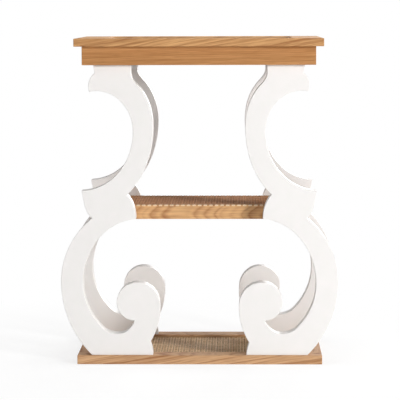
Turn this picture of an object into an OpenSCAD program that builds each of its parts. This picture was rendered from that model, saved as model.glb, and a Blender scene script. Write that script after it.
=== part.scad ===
// Side table with a tray top: a recessed tray on a shallow apron, a middle
// shelf and a base, held by four scroll-cut board legs. All three levels
// are wooden frames round a panel faced with woven cane.
// Millimetres. X is to the right, Y to the back and Z up. The origin is on
// the floor under the middle of the table.

/* [Overall] */
// Height of the table
table_h = 762; // [720:1:820]
// Half of the width across the lower scrolls
leg_reach = 324; // [315:1:335]

/* [Tray] */
// How far the tray reaches past the apron on the left and right
tray_side_over = 17.5; // [12:0.5:30]
// How far the tray reaches past the apron at the front and back
tray_front_over = 18; // [14:0.5:30]
// Thickness of the tray's frame
tray_t = 18.5; // [17:0.5:22]
// Width of the tray's left and right rails
tray_side_w = 72; // [60:1:84]
// How far the tray's front and back rails reach inside the apron
tray_cross_in = 18; // [17:0.5:28]

/* [Panels] */
// Thickness of each panel under the cane
panel_t = 6; // [5:0.5:6.5]
// Depth from the rail's top face down to the cane, on the tray and the base
recess = 5; // [4:0.5:5.5]
// Thickness of the woven cane
cane_t = 1.5; // [1:0.1:2]
// Width of the reed that holds down the edge of the cane
spline_w = 4; // [3:0.5:5]
// Height of that reed above the panel
spline_h = 3.5; // [3:0.5:4]
// Depth of the groove that holds a panel's edge
groove_d = 6; // [5:0.5:8]
// Length left ungrooved at each end of a front or back rail
groove_stop = 12; // [8:1:16]
// Gap between a panel's edge and the bottom of its groove
panel_slack = 0.5; // [0.2:0.1:1]

/* [Apron] */
// Gap between the legs' tops and the apron's left and right boards
tab_gap = 9.5; // [6:0.5:20]
// Height of the apron
apron_h = 43; // [40:1:50]
// Thickness of the apron's boards
apron_t = 16; // [15:0.5:19]
// Width of the cleats inside the apron
cleat_w = 16; // [14:1:18]
// Height of the cleats
cleat_h = 19; // [16:1:22]
// Gap between the ends of the cleats and the legs
cleat_gap = 8; // [4:0.5:30]
// Distance of the cleats' screws from the apron
cleat_screw_in = 7; // [6:0.5:8]
// Distance of the cleats' screws from the cleats' ends
cleat_screw_end = 40; // [20:1:60]

/* [Base] */
// Width of the base
base_w = 574; // [560:1:600]
// Depth of the base
base_d = 352; // [345:1:370]
// Thickness of the base
base_t = 21; // [19:0.5:24]
// Width of the base's left and right rails
base_side_w = 72; // [60:1:84]
// Width of the base's front and back rails
base_cross_w = 50; // [47:1:60]

/* [Shelf] */
// Height of the shelf's top above the floor
shelf_z = 370; // [355:1:385]
// Distance of the shelf's ends inside the outer edge of the legs' waist
shelf_in = 10.5; // [6:0.5:20]
// Distance of the shelf's front and back rails behind the legs' inner faces
shelf_set_back = 15; // [6:0.5:24]
// Height of the shelf's rails
shelf_h = 33.5; // [30:0.5:38]
// Thickness of the shelf's rails
shelf_rail_t = 18; // [17:0.5:21]
// Width of the step that the shelf's panel lies on
rebate_w = 12; // [10:0.5:13]
// Height of the shelf's edge reed above its panel
shelf_spline_h = 2; // [2:0.1:3]

/* [Legs] */
// Thickness of the leg boards
leg_t = 38; // [34:1:40]
// Distance of the legs' faces behind the base's edge
leg_inset = 5; // [3:0.5:8]
// Distance from the table's middle to the leg's top, on its inner edge
tab_in = 158; // [154:0.5:162]
// Width of the leg's top, under the apron
tab_w = 87; // [82:1:90]
// Distance from the middle to the inmost point of the upper scroll
upper_in = 107; // [102:1:114]
// Width of the scroll's band at its upper hollow
upper_band = 47; // [42:1:52]
// Width of the scroll's band at its lower hollow
lower_band = 51.5; // [46:0.5:58]
// Distance from the middle to the leg's waist
waist_in = 148; // [144:0.5:153]
// Width of the leg's waist
waist_w = 102.5; // [98:0.5:108]
// Distance from the middle to the inner edge of the foot
foot_in = 109.5; // [104:0.5:114]
// Width of the foot
foot_w = 143; // [138:0.5:150]
// Height of the solid foot, under the lower hollow
foot_h = 50.5; // [46:0.5:56]
// Height of the scroll head's centre above the base
head_z = 121; // [116:1:126]
// Distance from the middle to the scroll head's centre
head_x = 149; // [146:1:152]
// Radius of the scroll head where it starts, at the hook
head_r_hook = 39.5; // [38:0.5:42]
// Radius of the scroll head where it ends, above the neck
head_r_neck = 56.5; // [54:0.5:59]
// Drop from the apron to the tip of the ear
ear_drop = 62; // [56:0.5:66]
// Distance from the middle to the ear's outer edge
ear_out = 255; // [251:0.5:260]

/* [Fasteners] */
// Diameter of a screw's shank
screw_d = 4.5; // [4:0.1:5]
// Diameter of a screw's head
screw_head_d = 9; // [8:0.2:9.6]
// Length of the screws in the legs
leg_screw_l = 45; // [40:1:47]
// Length of the screws in the cleats
cleat_screw_l = 27; // [24:0.5:28]
// Depth that the head of a screw in a leg is sunk
sink = 5; // [4:0.5:6]
// Depth that the head of a screw in a cleat is sunk
cleat_sink = 3; // [2:0.5:4]
// Diameter of a dowel
dowel_d = 6; // [6:0.5:8]
// Depth of a dowel in the leg or in the end of a board
dowel_deep = 16; // [14:0.5:18]
// Depth of a dowel in the face of a board
dowel_shallow = 10; // [8:0.5:11]
// Wood left between a shelf rail's edge and its dowels
dowel_cover = 4.5; // [3:0.5:6]
// Distance of the foot's screws from its edges
foot_screw_in = 32; // [26:1:36]
// Distance of the screws in a leg's top from its edges
tab_screw_in = 22; // [12:1:30]
// Clearance all round a screw, a dowel or a tenon
fit = 0.15; // [0.1:0.05:0.25]

/* [Hidden] */

oak = "#C9995F";
cane_tan = "#B08A5E";
paint = "#F2F0EC";
zinc = "#B9BCC0";
beech = "#D9B98C";

// Facets of a full circle, and steps along each curve of the leg
$fn = 48;
steps = 14;
// How far a cut runs past the face that it opens
over = 1;

// Levels of the faces, from the floor up
tray_z = table_h - tray_t;
apron_z = tray_z - apron_h;
shelf_bottom = shelf_z - shelf_h;
tray_panel_z = table_h - recess - cane_t - panel_t;
base_panel_z = base_t - recess - cane_t - panel_t;
shelf_panel_z = shelf_z - shelf_spline_h - panel_t;

// The outer and inner faces of the legs, and what is fitted round them
leg_face = base_d / 2 - leg_inset;
leg_back = leg_face - leg_t;
apron_w = 2 * (tab_in + tab_w + tab_gap + apron_t);
tray_w = apron_w + 2 * tray_side_over;
tray_d = 2 * (leg_face + apron_t + tray_front_over);
tray_cross_w = tray_front_over + apron_t + tray_cross_in;
shelf_w = 2 * (waist_in + waist_w - shelf_in);
shelf_d = 2 * (leg_back - shelf_set_back);

// The shape of the leg between those sizes. A w goes sideways, and a drop or
// a rise is a height, each from the size or the level that it is named for.
shoulder_drop = 18.5;
shoulder_w = 3;
bow_w = 19;
bow_drop = 32;
spur_w = 50;
spur_rise = 38;
inner_spur_w = 20;
inner_spur_rise = 28.5;
upper_share = 0.6;
upper_lift = 11;
corner_rise = 6;
notch_rise = 1;
lower_share = 0.53;
lower_lift = 2;
floor_w = 41;
turn_w = 36;
turn_rise = 12;
neck_w = 6.5;
neck_rise = 30;
// Angle below the level at which the scroll head starts
hook_turn = 85;

// The places on the leg, for the leg on the right: [distance from the middle,
// height above the floor]
tab_out = tab_in + tab_w;
shoulder_in = [tab_in, apron_z - shoulder_drop];
shoulder_out = [tab_out - shoulder_w, apron_z - shoulder_drop];
bow_in = [tab_in - bow_w, shoulder_in[1] - bow_drop];
ear_tip = [ear_out, apron_z - ear_drop];
spur_out = [leg_reach - spur_w, shelf_z + spur_rise];
spur_in = [waist_in + inner_spur_w, shelf_z + inner_spur_rise];
upper_mid = spur_out[1] + upper_share * (ear_tip[1] - spur_out[1]);
upper_inmost = [upper_in, upper_mid + upper_lift];
upper_hollow = [upper_in + upper_band, upper_mid];
waist_corner = [waist_in, shelf_bottom + corner_rise];
waist_notch = [waist_in + waist_w, waist_corner[1] + notch_rise];
lower_mid = base_t + lower_share * (waist_notch[1] - base_t);
lower_outmost = [leg_reach, lower_mid + lower_lift];
lower_hollow = [leg_reach - lower_band, lower_mid - lower_lift];
hollow_floor = [head_x + floor_w, base_t + foot_h];
hollow_turn = [hollow_floor[0] + turn_w, hollow_floor[1] + turn_rise];
head = [head_x, base_t + head_z];
neck = [foot_in + neck_w, base_t + neck_rise];
foot_inner = [foot_in, base_t];
foot_outer = [foot_in + foot_w, base_t];

function unit(a) = [cos(a), sin(a)];

// How long a curve's handles are, as a share of the distance between its
// ends, for a curve that turns through the angle a: that of a round arc
function reach_of(a) = a < 1 ? 1 / 3 : 4 / 3 * tan(a / 4) / (2 * sin(a / 2));

// The points of one smooth curve from p, which it leaves at the angle pa,
// to q, where it arrives at the angle qa. It leaves out its last point.
function bend(p, pa, q, qa) =
    let (h = reach_of(abs(qa - pa)) * norm(q - p), a = p + h * unit(pa), b = q - h * unit(qa))
    [for (i = [0:steps - 1])
        let (t = i / steps, s = 1 - t)
        s * s * s * p + 3 * s * s * t * a + 3 * s * t * t * b + t * t * t * q];

// The curves through a row of knots. A knot is [place, angle] where the edge
// runs smoothly, and [place, angle before it, angle after it] at a corner.
function run(knots) =
    [for (k = [1:len(knots) - 1])
        let (from = knots[k - 1], to = knots[k], leaves = from[len(from) - 1])
        each bend(from[0], leaves, to[0], to[1])];

// The scroll head: a spiral that widens at a steady rate, round its centre
function scroll_head() =
    [for (i = [0:2 * steps - 1])
        let (t = i / (2 * steps))
        head + (head_r_hook + t * (head_r_neck - head_r_hook)) * unit(t * (180 + hook_turn) - hook_turn)];

// Down the inner edge, under the waist and round the hollow to the hook
inner_edge = [
    [shoulder_in, -90], [bow_in, -131], [upper_inmost, -90], [spur_in, -44, -132],
    [waist_corner, -90, -6], [lower_hollow, -90], [hollow_turn, -136], [hollow_floor, -180],
    [head + head_r_hook * unit(-hook_turn), -250]
];
// From the scroll head down the neck to the foot
neck_edge = [[head - [head_r_neck, 0], -94], [neck, -58, -106], [foot_inner, -90]];
// Up the outer edge, with its notch, its spur and the upper hollow
outer_edge = [
    [foot_outer, 45], [lower_outmost, 90], [waist_notch, 142, 41], [spur_out, 79, 178],
    [upper_hollow, 90], [ear_tip, -12, 73], [shoulder_out, 142]
];

function leg_outline() = concat(
    [[tab_in, tray_z]], run(inner_edge), scroll_head(), run(neck_edge), [foot_inner],
    run(outer_edge), [shoulder_out, [tab_out, apron_z], [tab_out, tray_z]]
);

// Mirrors what stands at the front right to one of the four corners
module corner(side, end) {
    mirror([side < 0 ? 1 : 0, 0, 0])
        mirror([0, end > 0 ? 1 : 0, 0])
            children();
}

// What stands at the front right, at all four corners
module four_corners() {
    for (side = [-1, 1], end = [-1, 1])
        corner(side, end) children();
}

// A box by its lowest and highest corners
module block(a, b) {
    translate(a) cube(b - a);
}

// A round bar or bore along Y from y0 to y1
module bar_y(x, z, d, y0, y1) {
    translate([x, y0, z]) rotate([-90, 0, 0]) cylinder(d = d, h = y1 - y0);
}

// A countersunk screw with its head's flat face at the origin and its point up
module screw(l) {
    head_h = (screw_head_d - screw_d) / 2;
    point_h = screw_d;
    tip_d = screw_d / 5;
    cylinder(d1 = screw_head_d, d2 = screw_d, h = head_h);
    cylinder(d = screw_d, h = l - point_h);
    translate([0, 0, l - point_h]) cylinder(d1 = screw_d, d2 = tip_d, h = point_h);
}

// The bore for that screw, open below the head as far as drop
module screw_bore(l, drop) {
    head_h = (screw_head_d - screw_d) / 2;
    translate([0, 0, -drop]) cylinder(d = screw_head_d + 2 * fit, h = drop);
    cylinder(d1 = screw_head_d + 2 * fit, d2 = screw_d + 2 * fit, h = head_h);
    cylinder(d = screw_d + 2 * fit, h = l + fit);
}

// Frames of the tray and the base

// A front rail, grooved along its inner edge
module cross_rail(w, d, rail_w, z, t, groove_z) {
    difference() {
        block([-w / 2, -d / 2, z], [w / 2, -d / 2 + rail_w, z + t]);
        block([-w / 2 + groove_stop, -d / 2 + rail_w - groove_d, groove_z],
            [w / 2 - groove_stop, -d / 2 + rail_w + over, groove_z + panel_t]);
    }
}

// A right rail, grooved along its inner edge, with a stub tenon at each end
module side_rail(w, d, rail_w, cross_w, z, t, groove_z) {
    y = d / 2 - cross_w;
    inner = w / 2 - rail_w;
    difference() {
        union() {
            block([inner, -y, z], [w / 2, y, z + t]);
            block([inner + groove_d, -y - groove_d + fit, groove_z + fit],
                [w / 2 - groove_stop - fit, y + groove_d - fit, groove_z + panel_t - fit]);
        }
        block([inner - over, -y - over, groove_z], [inner + groove_d, y + over, groove_z + panel_t]);
    }
}

// The panel, with its edges in the grooves
module framed_panel(w, d, rail_w, cross_w, groove_z) {
    x = w / 2 - rail_w + groove_d - panel_slack;
    y = d / 2 - cross_w + groove_d - panel_slack;
    block([-x, -y, groove_z], [x, y, groove_z + panel_t]);
}

// A flat sheet that is 2x by 2y, with its underside at z
module sheet(x, y, z, t) {
    block([-x, -y, z], [x, y, z + t]);
}

// One length of reed along Y, domed on top and mitred at both ends, with its
// outer side at x
module reed(x, y, z, h) {
    dome = spline_w / 2;
    profile = concat(
        [[x - spline_w, z], [x, z]],
        [for (a = [0:15:180]) [x - dome + dome * cos(a), z + h - dome / 2 + dome / 2 * sin(a)]]
    );
    intersection() {
        translate([0, y, 0]) rotate([90, 0, 0]) linear_extrude(2 * y) polygon(profile);
        translate([0, 0, z - over]) linear_extrude(h + 2 * over)
            polygon([[x - spline_w, spline_w - y], [x, -y], [x, y], [x - spline_w, y - spline_w]]);
    }
}

// The reed round a sheet of cane
module reed_ring(x, y, z, h) {
    for (a = [0, 180]) {
        rotate([0, 0, a]) reed(x, y, z, h);
        rotate([0, 0, a + 90]) reed(y, x, z, h);
    }
}

// Base

module base_cross() {
    difference() {
        cross_rail(base_w, base_d, base_cross_w, 0, base_t, base_panel_z);
        foot_screw_bores();
    }
}

module base_side() {
    side_rail(base_w, base_d, base_side_w, base_cross_w, 0, base_t, base_panel_z);
}

base_open = [base_w / 2 - base_side_w - fit, base_d / 2 - base_cross_w - fit];

module base_front_rail() { color(oak) base_cross(); }
module base_back_rail() { color(oak) mirror([0, 1, 0]) base_cross(); }
module base_left_rail() { color(oak) mirror([1, 0, 0]) base_side(); }
module base_right_rail() { color(oak) base_side(); }
module base_panel() { color(beech) framed_panel(base_w, base_d, base_side_w, base_cross_w, base_panel_z); }
module base_cane() {
    color(cane_tan) sheet(base_open[0] - spline_w, base_open[1] - spline_w, base_panel_z + panel_t, cane_t);
}
module base_spline() {
    color(oak) reed_ring(base_open[0], base_open[1], base_panel_z + panel_t, spline_h);
}

// Legs

// The places of the screws under a foot and in a leg's top, across the leg
foot_screw_x = [foot_in + foot_screw_in, foot_in + foot_w - foot_screw_in];
tab_screw_x = [tab_in + tab_screw_in, tab_out - tab_screw_in];
tab_screw_z = apron_z + apron_h / 2;
leg_mid_y = -(leg_face + leg_back) / 2;
shelf_dowel_x = shelf_w / 2 - shelf_rail_t / 2;
shelf_dowel_z = [shelf_bottom + dowel_cover + dowel_d / 2, shelf_panel_z - dowel_cover - dowel_d / 2];

module leg() {
    difference() {
        translate([0, -leg_back, 0]) rotate([90, 0, 0]) linear_extrude(leg_t) polygon(leg_outline());
        for (x = foot_screw_x)
            translate([x, leg_mid_y, sink]) screw_bore(leg_screw_l, sink);
        for (x = tab_screw_x)
            translate([x, -leg_back - sink, tab_screw_z]) rotate([90, 0, 0])
                screw_bore(leg_screw_l, sink + over);
        for (z = shelf_dowel_z)
            bar_y(shelf_dowel_x, z, dowel_d + 2 * fit, -leg_back - dowel_deep - fit, -leg_back + over);
    }
}

module leg_front_left() { color(paint) corner(-1, -1) leg(); }
module leg_front_right() { color(paint) corner(1, -1) leg(); }
module leg_back_left() { color(paint) corner(-1, 1) leg(); }
module leg_back_right() { color(paint) corner(1, 1) leg(); }

// The screws come up through the base into the feet
module foot_screws() {
    color(zinc) four_corners()
        for (x = foot_screw_x)
            translate([x, leg_mid_y, sink]) screw(leg_screw_l);
}
module foot_screw_bores() {
    for (side = [-1, 1], x = foot_screw_x)
        translate([side * x, leg_mid_y, sink]) screw_bore(leg_screw_l, sink + over);
}

// The screws that hold the legs' tops to the apron, driven from inside it
module leg_top_screws() {
    color(zinc) four_corners()
        for (x = tab_screw_x)
            translate([x, -leg_back - sink, tab_screw_z]) rotate([90, 0, 0]) screw(leg_screw_l);
}

// Shelf

side_rail_x = shelf_w / 2 - shelf_rail_t;
cross_rail_y = shelf_d / 2 - shelf_rail_t;
corner_dowel_y = shelf_d / 2 - shelf_rail_t / 2;

module shelf_corner_bores() {
    for (side = [-1, 1], z = shelf_dowel_z)
        translate([side * (side_rail_x - dowel_deep - fit), -corner_dowel_y, z])
            rotate([0, side * 90, 0])
                cylinder(d = dowel_d + 2 * fit, h = dowel_deep + dowel_shallow + 2 * fit);
}

// The step round the shelf's panel
module shelf_rebate() {
    block([-side_rail_x - rebate_w, -cross_rail_y - rebate_w, shelf_panel_z],
        [side_rail_x + rebate_w, cross_rail_y + rebate_w, shelf_z + over]);
}

module shelf_cross() {
    difference() {
        block([-side_rail_x, -shelf_d / 2, shelf_bottom], [side_rail_x, -cross_rail_y, shelf_z]);
        shelf_rebate();
        shelf_corner_bores();
    }
}

module shelf_side() {
    difference() {
        block([side_rail_x, -leg_back, shelf_bottom], [shelf_w / 2, leg_back, shelf_z]);
        shelf_rebate();
        shelf_corner_bores();
        mirror([0, 1, 0]) shelf_corner_bores();
        for (end = [-1, 1], z = shelf_dowel_z)
            mirror([0, end > 0 ? 1 : 0, 0])
                bar_y(shelf_dowel_x, z, dowel_d + 2 * fit, -leg_back - over, -leg_back + dowel_shallow + fit);
    }
}

shelf_open = [side_rail_x + rebate_w - fit, cross_rail_y + rebate_w - fit];

module shelf_front_rail() { color(oak) shelf_cross(); }
module shelf_back_rail() { color(oak) mirror([0, 1, 0]) shelf_cross(); }
module shelf_left_rail() { color(oak) mirror([1, 0, 0]) shelf_side(); }
module shelf_right_rail() { color(oak) shelf_side(); }
module shelf_panel() { color(beech) sheet(shelf_open[0], shelf_open[1], shelf_panel_z, panel_t); }
module shelf_cane() {
    color(cane_tan)
        sheet(shelf_open[0] - spline_w, shelf_open[1] - spline_w, shelf_panel_z + panel_t, cane_t);
}
module shelf_spline() {
    color(oak) reed_ring(shelf_open[0], shelf_open[1], shelf_panel_z + panel_t, shelf_spline_h);
}

module shelf_corner_dowels() {
    color(beech) four_corners()
        for (z = shelf_dowel_z)
            translate([side_rail_x - dowel_deep, -corner_dowel_y, z])
                rotate([0, 90, 0])
                    cylinder(d = dowel_d, h = dowel_deep + dowel_shallow);
}

module shelf_leg_dowels() {
    color(beech) four_corners()
        for (z = shelf_dowel_z)
            bar_y(shelf_dowel_x, z, dowel_d, -leg_back - dowel_deep, -leg_back + dowel_shallow);
}

// Apron

apron_dowel_x = apron_w / 2 - apron_t / 2;
apron_dowel_z = [apron_z + apron_h / 4, apron_z + 3 * apron_h / 4];

module apron_cross() {
    difference() {
        block([-apron_w / 2, -leg_face - apron_t, apron_z], [apron_w / 2, -leg_face, tray_z]);
        for (side = [-1, 1], x = tab_screw_x)
            translate([side * x, -leg_back - sink, tab_screw_z]) rotate([90, 0, 0])
                screw_bore(leg_screw_l, 0);
        for (side = [-1, 1], z = apron_dowel_z)
            bar_y(side * apron_dowel_x, z, dowel_d + 2 * fit,
                -leg_face - dowel_shallow - fit, -leg_face + over);
    }
}

module apron_side() {
    difference() {
        block([apron_inside, -leg_face, apron_z], [apron_w / 2, leg_face, tray_z]);
        for (end = [-1, 1], z = apron_dowel_z)
            mirror([0, end > 0 ? 1 : 0, 0])
                bar_y(apron_dowel_x, z, dowel_d + 2 * fit, -leg_face - over, -leg_face + dowel_deep + fit);
    }
}

module apron_front() { color(oak) apron_cross(); }
module apron_back() { color(oak) mirror([0, 1, 0]) apron_cross(); }
module apron_left() { color(oak) mirror([1, 0, 0]) apron_side(); }
module apron_right() { color(oak) apron_side(); }

module apron_dowels() {
    color(beech) four_corners()
        for (z = apron_dowel_z)
            bar_y(apron_dowel_x, z, dowel_d, -leg_face - dowel_shallow, -leg_face + dowel_deep);
}

// The cleats that hold the tray down on the apron
long_cleat_x = tab_in - cleat_gap;
short_cleat_y = leg_back - cleat_gap;
apron_inside = apron_w / 2 - apron_t;
long_screw_x = long_cleat_x - cleat_screw_end;
short_screw_y = short_cleat_y - cleat_screw_end;
long_screw_y = leg_face - cleat_screw_in;
short_screw_x = apron_inside - cleat_screw_in;

module cleat_bores() {
    for (side = [-1, 1]) {
        translate([side * long_screw_x, -long_screw_y, tray_z - cleat_h + cleat_sink])
            screw_bore(cleat_screw_l, cleat_sink + over);
        translate([short_screw_x, side * short_screw_y, tray_z - cleat_h + cleat_sink])
            screw_bore(cleat_screw_l, cleat_sink + over);
    }
}

module long_cleat() {
    difference() {
        block([-long_cleat_x, -leg_face, tray_z - cleat_h], [long_cleat_x, cleat_w - leg_face, tray_z]);
        cleat_bores();
    }
}

module short_cleat() {
    difference() {
        block([apron_inside - cleat_w, -short_cleat_y, tray_z - cleat_h],
            [apron_inside, short_cleat_y, tray_z]);
        cleat_bores();
    }
}

module cleat_front() { color(beech) long_cleat(); }
module cleat_back() { color(beech) mirror([0, 1, 0]) long_cleat(); }
module cleat_left() { color(beech) mirror([1, 0, 0]) short_cleat(); }
module cleat_right() { color(beech) short_cleat(); }

module cleat_screws() {
    color(zinc) four_corners() {
        translate([long_screw_x, -long_screw_y, tray_z - cleat_h + cleat_sink]) screw(cleat_screw_l);
        translate([short_screw_x, -short_screw_y, tray_z - cleat_h + cleat_sink]) screw(cleat_screw_l);
    }
}

// Tray

module tray_cross() {
    difference() {
        cross_rail(tray_w, tray_d, tray_cross_w, tray_z, tray_t, tray_panel_z);
        cleat_bores();
    }
}

module tray_side() {
    difference() {
        side_rail(tray_w, tray_d, tray_side_w, tray_cross_w, tray_z, tray_t, tray_panel_z);
        cleat_bores();
    }
}

tray_open = [tray_w / 2 - tray_side_w - fit, tray_d / 2 - tray_cross_w - fit];

module tray_front_rail() { color(oak) tray_cross(); }
module tray_back_rail() { color(oak) mirror([0, 1, 0]) tray_cross(); }
module tray_left_rail() { color(oak) mirror([1, 0, 0]) tray_side(); }
module tray_right_rail() { color(oak) tray_side(); }
module tray_panel() { color(beech) framed_panel(tray_w, tray_d, tray_side_w, tray_cross_w, tray_panel_z); }
module tray_cane() {
    color(cane_tan) sheet(tray_open[0] - spline_w, tray_open[1] - spline_w, tray_panel_z + panel_t, cane_t);
}
module tray_spline() {
    color(oak) reed_ring(tray_open[0], tray_open[1], tray_panel_z + panel_t, spline_h);
}

base_front_rail();
base_back_rail();
base_left_rail();
base_right_rail();
base_panel();
base_cane();
base_spline();
leg_front_left();
leg_front_right();
leg_back_left();
leg_back_right();
shelf_front_rail();
shelf_back_rail();
shelf_left_rail();
shelf_right_rail();
shelf_panel();
shelf_cane();
shelf_spline();
apron_front();
apron_back();
apron_left();
apron_right();
cleat_front();
cleat_back();
cleat_left();
cleat_right();
tray_front_rail();
tray_back_rail();
tray_left_rail();
tray_right_rail();
tray_panel();
tray_cane();
tray_spline();
foot_screws();
leg_top_screws();
cleat_screws();
apron_dowels();
shelf_corner_dowels();
shelf_leg_dowels();
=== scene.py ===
import math

import bmesh
import bpy
import numpy as np
from mathutils import Matrix, Quaternion, Vector


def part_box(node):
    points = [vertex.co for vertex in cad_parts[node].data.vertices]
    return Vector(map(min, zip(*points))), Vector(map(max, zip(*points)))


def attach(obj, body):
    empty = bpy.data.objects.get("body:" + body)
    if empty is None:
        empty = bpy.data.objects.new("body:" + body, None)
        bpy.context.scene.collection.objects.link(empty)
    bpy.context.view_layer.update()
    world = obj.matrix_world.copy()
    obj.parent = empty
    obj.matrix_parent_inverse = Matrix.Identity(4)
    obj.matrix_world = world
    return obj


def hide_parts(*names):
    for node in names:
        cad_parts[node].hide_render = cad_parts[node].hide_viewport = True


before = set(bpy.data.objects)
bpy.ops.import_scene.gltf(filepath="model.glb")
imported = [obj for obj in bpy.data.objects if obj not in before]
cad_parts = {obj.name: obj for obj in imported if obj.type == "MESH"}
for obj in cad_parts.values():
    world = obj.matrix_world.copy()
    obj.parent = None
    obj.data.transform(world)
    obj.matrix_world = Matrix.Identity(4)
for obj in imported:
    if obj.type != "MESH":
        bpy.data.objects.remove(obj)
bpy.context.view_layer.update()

# Camera. It stands 4.8 m in front of the table, a hand's width right of its middle and a little
# above the tray, and looks 5.4 degrees down and 1.1 degrees to the left through a long lens.
CAMERA_PLACE = (0.0930, -4.8057, 0.8254)
CAMERA_LOOKS = Vector((-0.01960, 0.99535, -0.09426))
CAMERA_ROLL = math.radians(-0.142)

camera_data = bpy.data.cameras.new("camera")
camera_data.lens = 180
camera_data.sensor_width = 36
camera_data.clip_end = 50
camera = bpy.data.objects.new("camera", camera_data)
camera.location = CAMERA_PLACE
aimed = CAMERA_LOOKS.to_track_quat("-Z", "Y")
camera.rotation_euler = (aimed @ Quaternion((0, 0, 1), CAMERA_ROLL)).to_euler()
bpy.context.scene.collection.objects.link(camera)
bpy.context.scene.camera = camera

# Floor and room. The table stands on a white studio floor in a white room. The floor shows itself
# nearly white and keeps the table's soft shadow, and the room lights the table from all sides.
FLOOR_REACH = 14.0
FLOOR_MIDDLE = (3, 0, 0)
FLOOR_WHITE = "#F2F2F2"
FLOOR_PAINT = "#8C8C8C"
FLOOR_GLOW = 0.78
FLOOR_FADES = (0.5, 1.0)
ROOM_LIGHT = 0.23


def linear(colour):
    """Turns an sRGB hex colour such as #C9995F into the linear colour that a shader takes."""
    parts = [int(colour[i:i + 2], 16) / 255 for i in (1, 3, 5)]
    return [p / 12.92 if p <= 0.04045 else ((p + 0.055) / 1.055) ** 2.4 for p in parts] + [1.0]


def add(tree, kind, settings=None, feeds=None):
    """Adds a node with its settings. feeds gives each input a value, or the output to link to it."""
    node = tree.nodes.new("ShaderNode" + kind)
    for name, value in (settings or {}).items():
        setattr(node, name, value)
    for name, value in (feeds or {}).items():
        if isinstance(value, bpy.types.NodeSocket):
            tree.links.new(value, node.inputs[name])
        else:
            node.inputs[name].default_value = value
    return node


def piece_of(name, shape):
    """Makes the mesh that was built into a piece of the scene."""
    mesh = bpy.data.meshes.new(name)
    shape.to_mesh(mesh)
    shape.free()
    piece = bpy.data.objects.new(name, mesh)
    bpy.context.scene.collection.objects.link(piece)
    return piece


floor_shape = bmesh.new()
bmesh.ops.create_grid(floor_shape, x_segments=1, y_segments=1, size=FLOOR_REACH,
                      matrix=Matrix.Translation(FLOOR_MIDDLE))
floor = piece_of("studio_floor", floor_shape)

floor_paint = bpy.data.materials.new("white_studio_floor")
floor_paint.use_nodes = True
tree = floor_paint.node_tree
tree.nodes.clear()
# To the camera and in reflections the floor is a darker paint that glows, which keeps the shadow
# pale and soft. All other light meets the white paint.
rays = add(tree, "LightPath").outputs
seen = add(tree, "Math", {"operation": "MAXIMUM"},
           {0: rays["Is Camera Ray"], 1: rays["Is Glossy Ray"]})
white = add(tree, "BsdfDiffuse", None, {"Color": linear(FLOOR_WHITE)})
shaded = add(tree, "BsdfDiffuse", None, {"Color": linear(FLOOR_PAINT)})
glow = add(tree, "Emission", None, {"Color": (1, 1, 1, 1), "Strength": FLOOR_GLOW})
lit = add(tree, "AddShader", None, {0: shaded.outputs[0], 1: glow.outputs[0]})
# Further than 1 m from the table the floor is as white as the room, so that they meet unseen
spot = add(tree, "TexCoord").outputs["Object"]
away = add(tree, "VectorMath", {"operation": "LENGTH"}, {0: spot})
fades = add(tree, "MapRange", None, {"Value": away.outputs["Value"], "From Min": FLOOR_FADES[0],
                                     "From Max": FLOOR_FADES[1]})
blank = add(tree, "Emission", None, {"Color": (1, 1, 1, 1), "Strength": 1.0})
lit = add(tree, "MixShader", None, {0: fades.outputs[0], 1: lit.outputs[0], 2: blank.outputs[0]})
floor_shows = add(tree, "MixShader", None, {0: seen.outputs[0], 1: white.outputs[0], 2: lit.outputs[0]})
# From below the floor can be seen through, so that the underside can be looked at
below = add(tree, "NewGeometry").outputs["Backfacing"]
clear = add(tree, "BsdfTransparent")
floor_shows = add(tree, "MixShader", None, {0: below, 1: floor_shows.outputs[0], 2: clear.outputs[0]})
add(tree, "OutputMaterial", None, {"Surface": floor_shows.outputs[0]})
floor.data.materials.append(floor_paint)

room = bpy.data.worlds.new("white_room")
room.use_nodes = True
bpy.context.scene.world = room
tree = room.node_tree
tree.nodes.clear()
# To the camera and in reflections the room is white, and it lights the table with less than that
rays = add(tree, "LightPath").outputs
seen = add(tree, "Math", {"operation": "MAXIMUM"},
           {0: rays["Is Camera Ray"], 1: rays["Is Glossy Ray"]})
seen = add(tree, "Math", {"operation": "MAXIMUM"},
           {0: seen.outputs[0], 1: rays["Is Transmission Ray"]})
strength = add(tree, "MapRange", None, {"Value": seen.outputs[0], "To Min": ROOM_LIGHT, "To Max": 1.0})
sky = add(tree, "Background", None, {"Color": (1, 1, 1, 1), "Strength": strength.outputs[0]})
add(tree, "OutputWorld", None, {"Surface": sky.outputs[0]})

bpy.context.scene.view_settings.view_transform = "Standard"

# Lamps. The main soft box stands well to the right of the camera, so that the left-hand edges lie
# in shade. Wide weak ones fill in from near the camera, from behind the table and from above it.
TABLE_MIDDLE = Vector((0, 0, 0.40))
LAMPS = {
    # name: (degrees to the right of the front, degrees up, distance m, width m, watts)
    "main_soft_box": (44, 13, 7.0, 1.2, 295),
    "front_fill": (4, 4, 7.0, 2.0, 44),
    "back_fill": (163, 12, 7.0, 2.4, 190),
    "top_fill": (0, 88, 7.0, 2.0, 170),
}
for name, (turn, rise, distance, width, watts) in LAMPS.items():
    a, e = math.radians(turn), math.radians(rise)
    outwards = Vector((math.sin(a) * math.cos(e), -math.cos(a) * math.cos(e), math.sin(e)))
    lamp = bpy.data.lights.new(name, "AREA")
    lamp.size = width
    lamp.energy = watts
    holder = bpy.data.objects.new(name, lamp)
    holder.location = TABLE_MIDDLE + distance * outwards
    holder.rotation_euler = (-outwards).to_track_quat("-Z", "Y").to_euler()
    bpy.context.scene.collection.objects.link(holder)

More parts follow.
